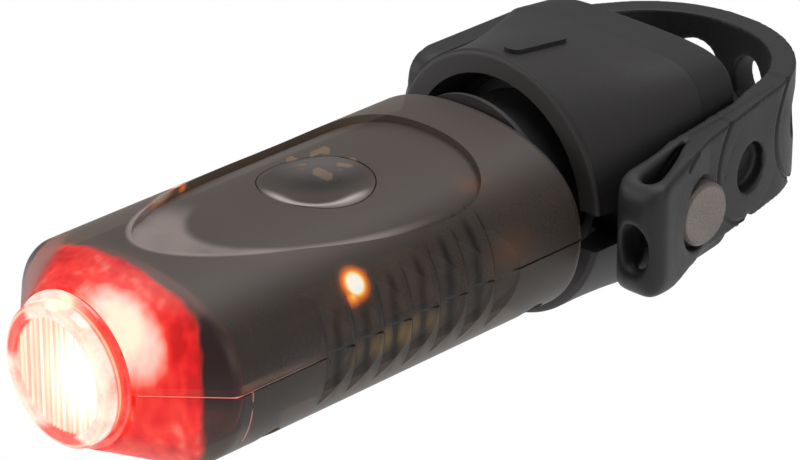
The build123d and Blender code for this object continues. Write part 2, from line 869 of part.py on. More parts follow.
# Mount housing with a cup at the front for the stem's bush
with BuildPart() as stem_bush:
    with BuildSketch():
        with BuildLine():
            bush_bore = stem_radius + running_gap
            Polyline(
                (0, y_stem_end),
                (0, y_bush_floor),
                (bush_bore + bush_wall, y_bush_floor),
                (bush_bore + bush_wall, y_cup_floor),
                (bush_bore, y_cup_floor),
                (bush_bore, y_stem_end),
                close=True,
            )
        make_face()
    revolve(axis=Axis.Y)
    keyway_half = key_half + running_gap
    keyway_depth = stem_radius + stem_key_height + 2 * running_gap
    keyway_span = (y_cup_floor - 1, y_stem_end)
    block((-keyway_half, keyway_half), keyway_span, (-keyway_depth, -stem_radius + 1), Mode.SUBTRACT)
stem_bush.part.label = "stem_bush"

with BuildPart() as bead_tool:
    with BuildSketch(Plane.XY):
        with Locations((0, y_mount + bead_setback + bead_length / 2)):
            SlotOverall(bead_length, bead_width, rotation=90)
    extrude(amount=mount_radius + bead_height)
    add(mount_form(bead_height), mode=Mode.INTERSECT)
    block(whole_width, (y_mount, 0), (-mount_radius, mount_rear_height - 1), Mode.SUBTRACT)

with BuildPart() as mount_housing:
    add(mount_form(0))
    fillet(edges_at(mount_housing, y_mount), mount_rim_radius)
    add(bead_tool.part)
    crosswise((mount_side - 1, mount_side + stud_boss_height), stud_y, 0, stud_boss_radius)
    with BuildSketch():
        with BuildLine():
            bush_seat = bush_bore + bush_wall + seat_gap
            Polyline(
                (0, y_mount - 1),
                (cup_mouth_radius, y_mount - 1),
                (cup_mouth_radius, y_mount),
                (cup_floor_radius, y_cup_floor),
                (bush_seat, y_cup_floor),
                (bush_seat, y_bush_floor),
                (0, y_bush_floor),
                close=True,
            )
        make_face()
    revolve(axis=Axis.Y, mode=Mode.SUBTRACT)
    stud_foot = mount_side - stud_depth
    stud_hole = stud_shaft_radius + seat_gap
    crosswise((stud_foot, mount_side + 2), stud_y, 0, stud_hole, Mode.SUBTRACT)
    crosswise((-mount_side - 2, -stud_foot), stud_y, strap_rise, stud_hole, Mode.SUBTRACT)
    slot_x = (cup_floor_radius / 2, mount_side + 2)
    slot_y = (y_mount - 1, y_mount + jaw_slot_length)
    slot_z = (jaw_slot_height - jaw_slot_width / 2, jaw_slot_height + jaw_slot_width / 2)
    block(slot_x, slot_y, slot_z, Mode.SUBTRACT)
mount_housing.part.label = "mount_housing"

with BuildPart() as saddle_pad:
    with BuildSketch(across(-saddle_pad_thickness)):
        rear_sizes = (mount_side, mount_rear_height, mount_rear_height, mount_rear_fullness)
        add(rounded_outline(*rear_sizes))
        make_face()
    with BuildSketch(across(0)):
        face_sizes = (saddle_half_width, saddle_half_height, saddle_half_height)
        add(rounded_outline(*face_sizes, mount_rear_fullness))
        make_face()
    loft()
    fillet(edges_at(saddle_pad, 0), saddle_edge_radius)
saddle_pad.part.label = "saddle_pad"

with BuildPart() as strap_studs:
    seat_head = stud_seat_x + strap_gap
    crosswise((stud_foot, seat_head), stud_y, 0, stud_shaft_radius)
    crosswise((seat_head, seat_head + stud_head_height), stud_y, 0, stud_head_radius)
    far_face = -(mount_side + strap_clearance + strap_thickness + strap_gap)
    crosswise((far_face, -stud_foot), stud_y, strap_rise, stud_shaft_radius)
    crosswise((far_face - stud_head_height, far_face), stud_y, strap_rise, stud_head_radius)
    head_edges = strap_studs.edges().filter_by(GeomType.CIRCLE)
    chamfer([head_edges.sort_by(Axis.X)[0], head_edges.sort_by(Axis.X)[-1]], stud_head_chamfer)
strap_studs.part.label = "strap_studs"

# Rubber strap: the loop round the post and its far leg stay put, the near end opens
loop_inner = loop_radius - strap_thickness / 2
loop_outer = loop_radius + strap_thickness / 2
hole_angles = [loop_hole_start + index * loop_hole_step for index in range(loop_hole_count)]
through = (loop_inner - 2, loop_outer + 2)
hole_centre = (loop_x, loop_y, hole_rise)

# The near leg leaves the loop at a slant, bends outwards at the stud and ends in a pull tab
outer_start = on_loop(loop_outer, near_flare)
inner_start = on_loop(loop_inner, near_inner_flare)
outer_slope = math.tan(math.radians(near_flare))
inner_slope = math.tan(math.radians(near_inner_flare))
leg_inner = mount_side + strap_clearance
inner_kink = (leg_inner, inner_start[1] - (leg_inner - inner_start[0]) / inner_slope)
outer_kink = (outer_start[0] + (outer_start[1] - near_kink_y) * outer_slope, near_kink_y)
y_tip = tip_front_y + tip_corner_radius
tab_slope = (tip_outer_x - outer_kink[0]) / (near_kink_y - y_tip)
spare_x = outer_start[0] + (outer_start[1] - y_spare) * outer_slope

with BuildSketch(Plane.XY.offset(-mount_radius)) as tail_plan:
    with BuildLine():
        tail_middle = (near_flare + loop_split_angle) / 2
        inner_middle = (near_inner_flare + loop_split_angle) / 2
        corner_reach = tip_corner_radius * math.sqrt(0.5)
        corner_y = y_tip - corner_reach
        outer_centre = tip_outer_x - tip_corner_radius
        inner_centre = tip_inner_x + tip_corner_radius
        ThreePointArc(
            on_loop(loop_outer, loop_split_angle), on_loop(loop_outer, tail_middle), outer_start
        )
        Polyline(outer_start, outer_kink, (tip_outer_x, y_tip))
        ThreePointArc(
            (tip_outer_x, y_tip),
            (outer_centre + corner_reach, corner_y),
            (outer_centre, tip_front_y),
        )
        Line((outer_centre, tip_front_y), (inner_centre, tip_front_y))
        ThreePointArc(
            (inner_centre, tip_front_y),
            (inner_centre - corner_reach, corner_y),
            (tip_inner_x, y_tip),
        )
        Polyline((tip_inner_x, y_tip), inner_kink, inner_start)
        ThreePointArc(
            inner_start, on_loop(loop_inner, inner_middle), on_loop(loop_inner, loop_split_angle)
        )
        Line(on_loop(loop_inner, loop_split_angle), on_loop(loop_outer, loop_split_angle))
    make_face()

with BuildPart() as line_floor:
    with BuildSketch(Plane.XY.offset(-mount_radius)):
        add(tail_plan.sketch)
        offset(amount=-pad_line_depth)
    extrude(amount=2 * mount_radius)
    with Locations((loop_x, loop_y, 0)):
        Cylinder(loop_outer - pad_line_depth, 2 * mount_radius)

# A fine half-round line marks the front of the round pad at the stud, spare and first loop hole
stud_face_x = outer_kink[0] + (near_kink_y - stud_y) * tab_slope
pad_lines = [
    ((stud_face_x, stud_y, 0), math.degrees(math.atan(tab_slope))),
    ((spare_x, y_spare, strap_rise / 2), near_flare),
    ((*on_loop(loop_outer, loop_hole_start), hole_rise), loop_hole_start),
]
line_span = (-strap_thickness, strap_thickness)
with BuildPart() as line_tool:
    for centre, angle in pad_lines:
        facing(centre, angle, line_span, pad_line_radius + pad_line_width)
    for centre, angle in pad_lines:
        facing(centre, angle, line_span, pad_line_radius, Mode.SUBTRACT)

with BuildPart() as strap_lines:
    for centre, angle in pad_lines:
        front_half = (centre[1] - 2 * pad_line_radius, centre[1] - pad_line_radius / 4)
        block((0, 2 * mount_side), front_half, (-mount_radius, mount_radius))
    add(line_tool.part, mode=Mode.INTERSECT)
    add(line_floor.part, mode=Mode.SUBTRACT)

with BuildPart() as strap_band:
    with BuildSketch(Plane.XY.offset(strap_base)):
        with BuildLine():
            band_start = loop_split_angle + math.degrees(strap_gap / loop_radius)
            band_end = 180 - far_flare
            band_middle = (band_start + band_end) / 2
            far_x = -(mount_side + strap_clearance + strap_thickness / 2)
            x_end, y_end = on_loop(loop_radius, band_end)
            y_bend = y_end - (x_end - far_x) / math.tan(math.radians(far_flare))
            bend_shift = strap_thickness / 2 * math.tan(math.radians(far_flare / 2))
            far_outer = far_x - strap_thickness / 2
            far_inner = far_x + strap_thickness / 2
            ThreePointArc(
                on_loop(loop_outer, band_start),
                on_loop(loop_outer, band_middle),
                on_loop(loop_outer, band_end),
            )
            Polyline(
                on_loop(loop_outer, band_end),
                (far_outer, y_bend + bend_shift),
                (far_outer, far_end_y),
                (far_inner, far_end_y),
                (far_inner, y_bend - bend_shift),
                on_loop(loop_inner, band_end),
            )
            ThreePointArc(
                on_loop(loop_inner, band_end),
                on_loop(loop_inner, band_middle),
                on_loop(loop_inner, band_start),
            )
            Line(on_loop(loop_inner, band_start), on_loop(loop_outer, band_start))
        make_face()
    extrude(amount=strap_width)
    end_corners = edges_at(strap_band, far_end_y).filter_by(Axis.X)
    fillet(end_corners, tab_corner_radius)
    for angle in hole_angles:
        facing(hole_centre, angle, through, hole_radius, Mode.SUBTRACT)
        notch_centre = (loop_x, loop_y, strap_base)
        facing(notch_centre, angle - notch_lead, through, notch_radius, Mode.SUBTRACT)
    add(strap_lines.part, mode=Mode.SUBTRACT)
    anchor_span = (far_outer - 1, far_inner + 1)
    crosswise(anchor_span, stud_y, strap_rise, hole_radius, Mode.SUBTRACT)
strap_band.part.label = "strap_band"

with BuildPart() as tab_side:
    with BuildSketch(Plane.YZ):
        with BuildLine():
            Polyline(
                (loop_y + loop_outer, strap_top),
                (0, strap_top),
                (tip_front_y, tab_top_front),
                (tip_front_y, tab_low_front),
                (tab_lobe_y, tab_low_front),
                (stud_y, tab_low_waist),
                (y_spare, tab_low_rear),
                (loop_y + loop_outer, strap_base),
                close=True,
            )
        make_face()
    extrude(amount=tip_outer_x + 2)
    fillet(edges_at(tab_side, tip_front_y).filter_by(Axis.X), tab_corner_radius)

with BuildPart() as tab_front:
    with BuildSketch(across(loop_y + loop_outer)):
        with Locations((tip_outer_x / 2, 0)):
            RectangleRounded(tip_outer_x, 2 * strap_width, tab_corner_radius)
        with Locations((tip_outer_x / 2, tab_low_front + strap_width)):
            RectangleRounded(tip_outer_x, 2 * strap_width, tab_corner_radius, mode=Mode.INTERSECT)
    extrude(amount=loop_y + loop_outer - tip_front_y)

with BuildPart() as strap_tail:
    add(tail_plan.sketch)
    extrude(amount=2 * mount_radius)
    add(tab_side.part, mode=Mode.INTERSECT)
    add(tab_front.part, mode=Mode.INTERSECT)
    crosswise((stud_seat_x, tip_outer_x + 2), stud_y, 0, stud_seat_radius, Mode.SUBTRACT)
    crosswise((mount_side, tip_outer_x + 2), stud_y, 0, hole_radius, Mode.SUBTRACT)
    spare_span = (spare_x - spare_hole_depth, spare_x + 2)
    crosswise(spare_span, y_spare, strap_rise / 2, hole_radius, Mode.SUBTRACT)
    crosswise((mount_side, tip_outer_x), y_spare, tab_low_rear, notch_radius, Mode.SUBTRACT)
    slot_x = (tip_inner_x + tip_outer_x) / 2
    y_slot = tip_front_y + tip_bridge + slot_width / 2
    slit_x = (leg_inner + outer_kink[0]) / 2
    with BuildSketch(Plane.XY.offset(-mount_radius)):
        with BuildLine():
            Polyline(
                (slit_x - slit_width / 2, slit_end_y),
                (slit_x + slit_width / 2, slit_end_y),
                (slot_x + slot_width / 2, y_slot),
                (slot_x - slot_width / 2, y_slot),
                close=True,
            )
        make_face()
        with Locations((slot_x, y_slot)):
            Circle(slot_width / 2)
    extrude(amount=2 * mount_radius, mode=Mode.SUBTRACT)
    crease_slope = outer_slope / 2
    crease_x = slit_x - (crease_end_y - slit_end_y) * crease_slope
    slit_start_x = slit_x - (slit_start_y - slit_end_y) * crease_slope
    with BuildSketch(Plane.XY.offset(-mount_radius)):
        with BuildLine():
            Polyline(
                (slit_x - slit_width / 2, slit_end_y),
                (slit_x + slit_width / 2, slit_end_y),
                (slit_start_x + slit_width / 2, slit_start_y),
                (slit_start_x - slit_width / 2, slit_start_y),
                close=True,
            )
        make_face()
    extrude(amount=2 * mount_radius, mode=Mode.SUBTRACT)
    with BuildSketch(Plane.XY.offset(strap_top - crease_depth)):
        with BuildLine():
            Polyline(
                (slit_x - slit_width / 2, slit_end_y),
                (slit_x + slit_width / 2, slit_end_y),
                (crease_x + slit_width / 2, crease_end_y),
                (crease_x - slit_width / 2, crease_end_y),
                close=True,
            )
        make_face()
    extrude(amount=2 * crease_depth, mode=Mode.SUBTRACT)
    with BuildSketch(across(y_slot)):
        with Locations((slot_x, -tip_hole_drop)):
            SlotOverall(tip_hole_height, tip_hole_width, rotation=90)
    extrude(amount=2 * tip_bridge, mode=Mode.SUBTRACT)
    add(strap_lines.part, mode=Mode.SUBTRACT)
strap_tail.part.label = "strap_tail"

pieces = [
    upper_shell,
    lower_shell,
    shell_seal,
    shell_screws,
    fluted_lens,
    lens_gasket,
    light_guide,
    reflector,
    red_led,
    led_board,
    heat_sink,
    led_pins,
    main_board,
    board_screws,
    control_chip,
    chip_capacitors,
    tact_switch,
    switch_plunger,
    push_button,
    battery,
    battery_tape,
    battery_tray,
    battery_connector,
    rear_stem,
    stem_lip,
    stem_o_ring,
    charge_board,
    usb_port,
    mount_housing,
    stem_bush,
    saddle_pad,
    strap_studs,
    strap_band,
    strap_tail,
]
for piece in pieces + side_leds + leads:
    export_step(piece.part, "parts/" + piece.part.label + ".step")
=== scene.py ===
import bmesh
import bpy
import math
from mathutils import Matrix, Vector


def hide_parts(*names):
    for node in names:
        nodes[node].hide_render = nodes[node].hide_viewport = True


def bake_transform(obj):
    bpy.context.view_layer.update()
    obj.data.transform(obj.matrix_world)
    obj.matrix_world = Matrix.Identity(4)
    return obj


# Looks of a bicycle tail light in its strap mount, set round the solids of its CAD model.
# The lamp's axis is Y and its nose points along -Y, +Z is up and the strap opens on +X, the
# near side. Places and sizes are in millimetres unless a comment says otherwise.

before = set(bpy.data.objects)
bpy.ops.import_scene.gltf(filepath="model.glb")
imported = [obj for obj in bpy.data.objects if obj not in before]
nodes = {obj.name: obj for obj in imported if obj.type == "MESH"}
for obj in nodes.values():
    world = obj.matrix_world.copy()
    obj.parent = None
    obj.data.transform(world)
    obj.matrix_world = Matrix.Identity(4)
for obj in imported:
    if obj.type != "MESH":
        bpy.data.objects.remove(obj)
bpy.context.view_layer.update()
scene = bpy.context.scene
MM = 0.001

# Lamp, with the rate of its window's flutes in radians to the millimetre
nose_front = -102.0
nose_step = -100.6
window_radius = 7.5
flute_rate = 6.8
rim_radius = 9.1
side_light = (17.0, -69.3, 6.6)
pad_middle = (0.0, -51.0, 0.0)
button_middle = (0.0, -59.2, 0.0)

# Grip ribs: the steps and hollows as shares of the pitch, and the soft ends of their lines of
# painted shade
first_rib, rib_pitch, rib_gaps = -47.3, 4.8, 6
rib_line_share, rib_hollow_share = 0.06, 0.21
rib_bottom, rib_top = (-8.5, -6.0), (12.6, 14.6)
rib_top_slope = 0.12

# Mount
mount_mouth = -27.2
saddle_seam = -7.4

# Strap: its loop, and the seam at which its two CAD nodes meet, as an angle from +X in degrees
loop_centre = (1.6, 1.2)
loop_radius = 17.1
strap_half_thickness = 1.7
strap_low, strap_high = -6.5, 9.5
strap_split = 20.0
strap_split_gap = 1.0
bridge_overlap = 0.6

# Strap's near leg: the stud and the holes in it, the crease on its top edge and the pull tab
near_leg_slope = math.tan(math.radians(12.0))
stud_face = (24.72, -15.4, 0.0)
stud_rim = (3.5, 4.2)
spare_hole = (21.46, -1.8, 2.4)
first_loop_hole = (16.41, 12.77, 2.4)
hole_radius = 3.4
crease_x, crease_front, crease_rear = 21.22, -14.0, 5.5
tab_start, tab_blend = -17.0, 5.0

# Fine arcs in the strap's outer face, ahead of the stud and of each hole
arc_middles = (stud_face, spare_hole, first_loop_hole)
arc_radius = 8.8
arc_half_width = 0.45
arc_depth = 0.35
arc_lead = 1.0

# Mesh of the strap: size of its voxels, and rounds of softening all over and at the tab
strap_voxel = 0.25
soft_rounds, tab_rounds = 10, 120

# Radius that leaves an axis out of a distance
ANY = 1000.0

# Place of the camera in metres, and its direction in degrees round and above the lamp
camera_place = (0.33446, -0.38253, 0.23116)
camera_round, camera_above = 44.7, 26.0

# Floor's height and size in metres, and strength of the white world as seen and as a light
floor_height, floor_size = -0.16, 4.0
white_seen, white_light = 1.0, 0.42


def photo_camera():
    """Camera that stands where the photograph was taken from."""
    azimuth, elevation = math.radians(camera_round), math.radians(camera_above)
    right = Vector((math.cos(azimuth), math.sin(azimuth), 0))
    level = Vector((-math.sin(azimuth), math.cos(azimuth), 0))
    ahead = level * math.cos(elevation) - Vector((0, 0, math.sin(elevation)))
    turn = Matrix((right, right.cross(ahead), -ahead)).transposed().to_4x4()
    data = bpy.data.cameras.new("camera")
    data.lens = 189.0
    data.sensor_width = 36.0
    data.clip_start = 0.01
    data.clip_end = 20
    camera = bpy.data.objects.new("camera", data)
    camera.matrix_world = Matrix.Translation(camera_place) @ turn
    scene.collection.objects.link(camera)
    return camera


scene.camera = photo_camera()
scene.view_settings.view_transform = "Standard"


def colour(shade):
    """Linear value of an sRGB colour given from 0 to 255."""
    parts = [value / 255 for value in shade]
    return tuple(
        part / 12.92 if part <= 0.04 else ((part + 0.055) / 1.055) ** 2.4 for part in parts
    )


class Nodes:
    """Node tree of one material. Its places and sizes are in millimetres."""

    def __init__(self, name):
        self.material = bpy.data.materials.new(name)
        self.material.use_nodes = True
        self.tree = self.material.node_tree
        self.shader = self.tree.nodes["Principled BSDF"]
        self.output = self.tree.nodes["Material Output"]
        self.coordinates = self.node("ShaderNodeTexCoord")
        metres = self.coordinates.outputs["Object"]
        scaled = self.node("ShaderNodeVectorMath", metres, operation="SCALE")
        scaled.inputs["Scale"].default_value = 1 / MM
        self.place = scaled.outputs[0]
        self.x, self.y, self.z = self.node("ShaderNodeSeparateXYZ", self.place).outputs

    def put(self, socket, value):
        """Links another socket to this one, or sets its value."""
        if isinstance(value, bpy.types.NodeSocket):
            self.tree.links.new(value, socket)
        elif value is not None:
            socket.default_value = value

    def node(self, kind, *values, **settings):
        """New node with its settings, and with values or sockets for its first inputs."""
        made = self.tree.nodes.new(kind)
        for key, value in settings.items():
            setattr(made, key, value)
        for socket, value in zip(made.inputs, values):
            self.put(socket, value)
        return made

    def math(self, operation, a, b=None):
        """Result of one operation of the Math node."""
        return self.node("ShaderNodeMath", a, b, operation=operation).outputs[0]

    def times(self, first, *others):
        """Product of all values."""
        for other in others:
            first = self.math("MULTIPLY", first, other)
        return first

    def plus(self, first, *others):
        """Sum of all values."""
        for other in others:
            first = self.math("ADD", first, other)
        return first

    def noise(self, scale, detail=3.0, stretch=(1, 1, 1)):
        """Noise with so many cells to the millimetre, drawn out along the axes by a stretch."""
        spread = self.node("ShaderNodeVectorMath", self.place, stretch, operation="MULTIPLY")
        made = self.node("ShaderNodeTexNoise")
        self.put(made.inputs["Vector"], spread.outputs[0])
        made.inputs["Scale"].default_value = scale
        made.inputs["Detail"].default_value = detail
        made.inputs["Roughness"].default_value = 0.6
        return made.outputs["Fac"]

    def span(self, value, low, high, to_low=0.0, to_high=1.0):
        """Smooth step of a value from one limit to the other."""
        made = self.node("ShaderNodeMapRange", value, low, high, to_low, to_high)
        made.interpolation_type = "SMOOTHSTEP"
        return made.outputs[0]

    def fall(self, value, low, high):
        """Smooth step down: 1 below the low limit and 0 above the high one."""
        return self.span(value, low, high, 1.0, 0.0)

    def band(self, value, middle, half_width):
        """1 in the middle of a band, falling to 0 at its edges."""
        apart = self.math("ABSOLUTE", self.math("SUBTRACT", value, middle))
        return self.fall(apart, 0.0, half_width)

    def along(self, direction):
        """Distance of the place from the origin along a direction."""
        made = self.node("ShaderNodeVectorMath", self.place, direction, operation="DOT_PRODUCT")
        return made.outputs["Value"]

    def apart(self, point, radii=(1, 1, 1)):
        """Distance from a point, as a share of the radii along the three axes."""
        offset = self.node("ShaderNodeVectorMath", self.place, point, operation="SUBTRACT")
        share = self.node("ShaderNodeVectorMath", offset.outputs[0], radii, operation="DIVIDE")
        length = self.node("ShaderNodeVectorMath", share.outputs[0], operation="LENGTH")
        return length.outputs["Value"]

    def near(self, point, radii, strength=1.0):
        """Patch that has its strength at a point, falling smoothly to 0 at the radii."""
        return self.times(self.fall(self.apart(point, radii), 0.0, 1.0), strength)

    def ramp(self, value, *stops):
        """Colour of a value on a ramp, whose stops are positions with sRGB colours."""
        made = self.node("ShaderNodeValToRGB", value)
        elements = made.color_ramp.elements
        while len(elements) < len(stops):
            elements.new(0.5)
        for element, (position, shade) in zip(elements, stops):
            element.position = position
            element.color = (*colour(shade), 1.0)
        return made.outputs[0]

    def mix(self, factor, a, b, blend="MIX"):
        """Mix of two colours, each a socket or an sRGB colour."""
        made = self.node("ShaderNodeMix", data_type="RGBA", blend_type=blend)

        # The node's sockets for colours follow those for numbers and vectors
        first, second, result = made.inputs[6], made.inputs[7], made.outputs[2]
        self.put(made.inputs[0], factor)
        for socket, value in ((first, a), (second, b)):
            linked = isinstance(value, bpy.types.NodeSocket)
            self.put(socket, value if linked else (*colour(value), 1.0))
        return result

    def bump(self, height, strength, distance=0.0001):
        """Fine relief of the surface, with its depth in metres."""
        made = self.node("ShaderNodeBump")
        made.inputs["Strength"].default_value = strength
        made.inputs["Distance"].default_value = distance
        self.put(made.inputs["Height"], height)
        self.put(self.shader.inputs["Normal"], made.outputs[0])

    def see_through(self, share, tint):
        """Lets a share of the light straight through, tinted."""
        clear = self.node("ShaderNodeBsdfTransparent", (*colour(tint), 1.0)).outputs[0]
        blend = self.node("ShaderNodeMixShader", share, self.shader.outputs[0], clear)
        self.put(self.output.inputs["Surface"], blend.outputs[0])

    def look(self, base, roughness, metallic=0.0, specular=0.5):
        """Colour and gloss of the surface."""
        self.put(self.shader.inputs["Base Color"], base)
        self.put(self.shader.inputs["Roughness"], roughness)
        self.shader.inputs["Metallic"].default_value = metallic
        self.shader.inputs["Specular IOR Level"].default_value = specular

    def glow(self, shade, strength=1.0):
        """Light that the surface gives off."""
        self.put(self.shader.inputs["Emission Color"], shade)
        self.shader.inputs["Emission Strength"].default_value = strength


def paint(material, *names):
    """Gives nodes of the CAD model a material."""
    for name in names:
        mesh = nodes[name].data
        mesh.materials.clear()
        mesh.materials.append(material)


def moulded(made, shade, grain, grain_scale):
    """Colour of a moulded or cast finish: fine speckle over slow, broad changes."""
    speckle = made.noise(grain_scale, 4.0)
    broad = made.noise(grain_scale / 40, 2.0)
    both = made.plus(made.times(speckle, 0.6), made.times(broad, 0.4))
    dark = tuple(value * (1 - grain) for value in shade)
    light = tuple(value * (1 + grain) for value in shade)
    return made.ramp(both, (0.35, dark), (0.65, light)), speckle, broad


def plain(name, shade, roughness, grain=0.08, grain_scale=2.5, bump=0.15, metallic=0.0):
    """Moulded or metal finish with a fine grain in its colour, gloss and surface."""
    made = Nodes(name)
    base, speckle, broad = moulded(made, shade, grain, grain_scale)
    gloss = made.span(broad, 0.3, 0.7, roughness - 0.05, roughness + 0.05)
    made.look(base, gloss, metallic)
    made.bump(speckle, bump)
    return made.material


def metal(name, shade, roughness, grain=0.08, grain_scale=2.0, bump=0.1):
    """Bare metal with a fine grain."""
    return plain(name, shade, roughness, grain, grain_scale, bump, metallic=1.0)


def glowing(name, dark, light, strength, scale=0.3):
    """Lit plastic or a light source, with a cloudy pattern."""
    made = Nodes(name)
    pattern = made.noise(scale)
    shades = made.ramp(pattern, (0.3, dark), (0.7, light))
    made.look(shades, 0.4)
    made.glow(shades, strength)
    made.bump(pattern, 0.1)
    return made.material


def casing_zones(made, streak):
    """Zones of painted light at the casing's front: over the red block, its pale corner and the
    shadow beside it.
    """
    ragged = made.times(made.math("SUBTRACT", streak, 0.5), 1.2)

    # Reach grows from the nose round each side to the rear, at about 45 degrees
    side = made.math("ABSOLUTE", made.x)
    reach = made.plus(made.times(side, 0.711), made.times(made.y, 0.703), ragged)

    # The red block ends raggedly at the top and part of the way down the sides. Each pair of
    # limits is the soft start and end of an edge.
    block_top_end, block_side_end = (-92.3, -91.3), (-54.9, -53.9)
    corner_direction, corner_edge = (0.77, 0.46, -0.441), (-55.3, -53.6)
    pale_rear, pale_bottom = (-93.5, -86.5), (-2.0, 3.0)
    shadow_rear, shadow_bottom, shadow_top = (-90.5, -89.4), (-2.2, -0.4), (8.6, 10.2)
    past_corner = made.span(made.along(corner_direction), *corner_edge)
    low = made.fall(made.z, -1.0, 3.0)
    red = made.times(
        made.fall(made.plus(made.y, ragged), *block_top_end),
        made.fall(reach, *block_side_end),
        made.math("MAXIMUM", past_corner, low),
    )
    pale = made.times(
        made.fall(made.y, *pale_rear),
        made.fall(past_corner, 0.0, 0.9),
        made.span(made.z, *pale_bottom),
    )
    shadow = made.times(
        made.span(reach, *block_side_end),
        made.fall(made.y, *shadow_rear),
        made.span(made.z, *shadow_bottom),
        made.fall(made.z, *shadow_top),
    )
    return reach, red, pale, shadow


def casing_smoke(made, grain, cloud):
    """Mottled smoke with the parts behind it showing faintly, and painted shade at the grip ribs.
    """
    mottle = made.plus(made.times(grain, 0.5), made.times(cloud, 0.5))
    smoke = made.ramp(mottle, (0.3, (46, 39, 35)), (0.7, (62, 53, 48)))
    # Painted light: the casing is lighter towards its top
    smoke = made.mix(made.span(made.z, 6.5, 11.0, 0.0, 0.6), smoke, (84, 75, 71))
    tape = made.near((18.8, -63.5, -1.8), (4.0, 12.0, 2.6), 0.9)
    lead = made.near((12.0, -43.8, 9.5), (3.0, 3.6, 2.0), 0.7)
    plug = made.near((18.9, -44.5, 2.5), (3.0, 7.0, 4.5), 0.5)
    smoke = made.mix(tape, smoke, (116, 94, 52))
    smoke = made.mix(made.math("MAXIMUM", lead, plug), smoke, (104, 66, 36))

    # Each rib has a thin line of painted shade at its step, and a wider one in the hollow half a
    # pitch on
    from_rib = made.math("SUBTRACT", made.y, first_rib - 0.5 * rib_pitch)
    phase = made.math("FRACT", made.math("DIVIDE", from_rib, rib_pitch))
    step = made.band(phase, 0.5, rib_line_share)
    hollow = made.band(made.math("FRACT", made.plus(phase, 0.5)), 0.5, rib_hollow_share)
    last_rib = first_rib - rib_gaps * rib_pitch
    gripped = made.times(
        made.span(made.y, last_rib - 0.4 * rib_pitch, last_rib - 0.2 * rib_pitch),
        made.fall(made.y, first_rib + 0.5, first_rib + 0.8),
        made.span(made.z, *rib_bottom),
        made.fall(made.plus(made.z, made.times(made.y, -rib_top_slope)), *rib_top),
    )
    rib_shade = made.times(made.math("MAXIMUM", step, hollow), gripped, 0.95)
    return made.mix(rib_shade, smoke, (10, 7, 6))


def pad_painted_light(made, smoke, cloud):
    """Painted light on the thumb pad: highlights on its front ridge and near lip, shade in the
    dish.
    """
    # The ridge's painted highlight lies between two ellipses, and thins out along the near side
    inner_middle = (1.8, *pad_middle[1:])
    outer = made.apart(pad_middle, (14.0, 37.5, ANY))
    inner = made.apart(inner_middle, (12.0, 31.3, ANY))
    at_front = made.fall(made.y, -81.0, -73.0)
    at_side = made.times(made.span(made.x, 4.0, 8.0), made.fall(made.y, -66.0, -49.0))
    ridge = made.times(
        made.fall(outer, 0.985, 1.006),
        made.span(inner, 0.925, 0.985),
        made.math("MAXIMUM", at_front, at_side),
        made.span(made.z, 7.0, 8.0),
    )
    ridge_highlight = made.ramp(cloud, (0.35, (128, 116, 112)), (0.65, (146, 133, 129)))
    smoke = made.mix(ridge, smoke, ridge_highlight)

    # The button's dish has painted shade on its far side and a painted highlight on its near lip
    diagonal = 0.7071
    across = made.along((diagonal, diagonal, 0.0))
    toward = made.along((diagonal, -diagonal, 0.0))
    on_top = made.span(made.z, 6.0, 7.0)
    lip = made.times(
        made.band(made.apart(button_middle, (1, 1, ANY)), 5.6, 2.0),
        made.span(toward, 42.8, 45.6),
        on_top,
    )
    dish_shade = made.times(made.band(across, -41.2, 8.5), made.band(toward, 39.4, 3.8), on_top)
    smoke = made.mix(lip, smoke, (196, 186, 181))
    return made.mix(dish_shade, smoke, (10, 8, 8))


def red_light(made, streak, reach):
    """Painted light of the red block: streaks, a pale cloud beside the nose and one hot spot in it.
    """
    cloud_distance = made.apart((6.6, -97.4, 6.4), (8.2, 3.4, 7.0))
    cloud_light = made.span(cloud_distance, 0.5, 1.15, 0.6, 0.0)
    hot_light = made.near((7.6, -98.0, 7.4), (3.2, 3.2, 4.6), 0.6)
    patchy = made.times(made.math("SUBTRACT", made.noise(0.22, 2.0), 0.5), 0.36)

    # The red is deeper towards the block's end at the sides
    deep = made.times(
        made.span(reach, -59.0, -56.6),
        made.span(made.z, -2.5, 0.5),
        made.fall(made.z, 7.5, 10.5),
        -0.13,
    )
    return made.ramp(
        made.plus(made.times(streak, 0.5), patchy, deep, cloud_light, hot_light),
        (0.1, (196, 10, 14)),
        (0.18, (232, 20, 26)),
        (0.3, (246, 56, 44)),
        (0.5, (254, 150, 132)),
        (0.74, (255, 214, 200)),
        (1.0, (255, 252, 225)),
    )


def amber_light(made):
    """Painted light of the amber side lights: both spots, the near one's tail and the far one's
    top.
    """
    x, y, z = side_light
    spot = (3.3, 3.1, 3.5)
    far_spot = made.near((-x, y, z), spot)
    near_tail = made.near((17.6, -70.2, 5.5), (2.6, 2.0, 2.6), 0.6)
    far_top = made.near((-12.9, -70.6, 9.7), (1.5, 2.2, 1.2), 0.72)
    halo = made.near(side_light, spot)
    for patch in (far_spot, near_tail, far_top):
        halo = made.math("MAXIMUM", halo, patch)
    return made.ramp(
        halo,
        (0.0, (0, 0, 0)),
        (0.14, (58, 24, 4)),
        (0.36, (196, 88, 10)),
        (0.52, (252, 142, 22)),
        (0.62, (255, 214, 110)),
        (0.74, (255, 255, 245)),
    )


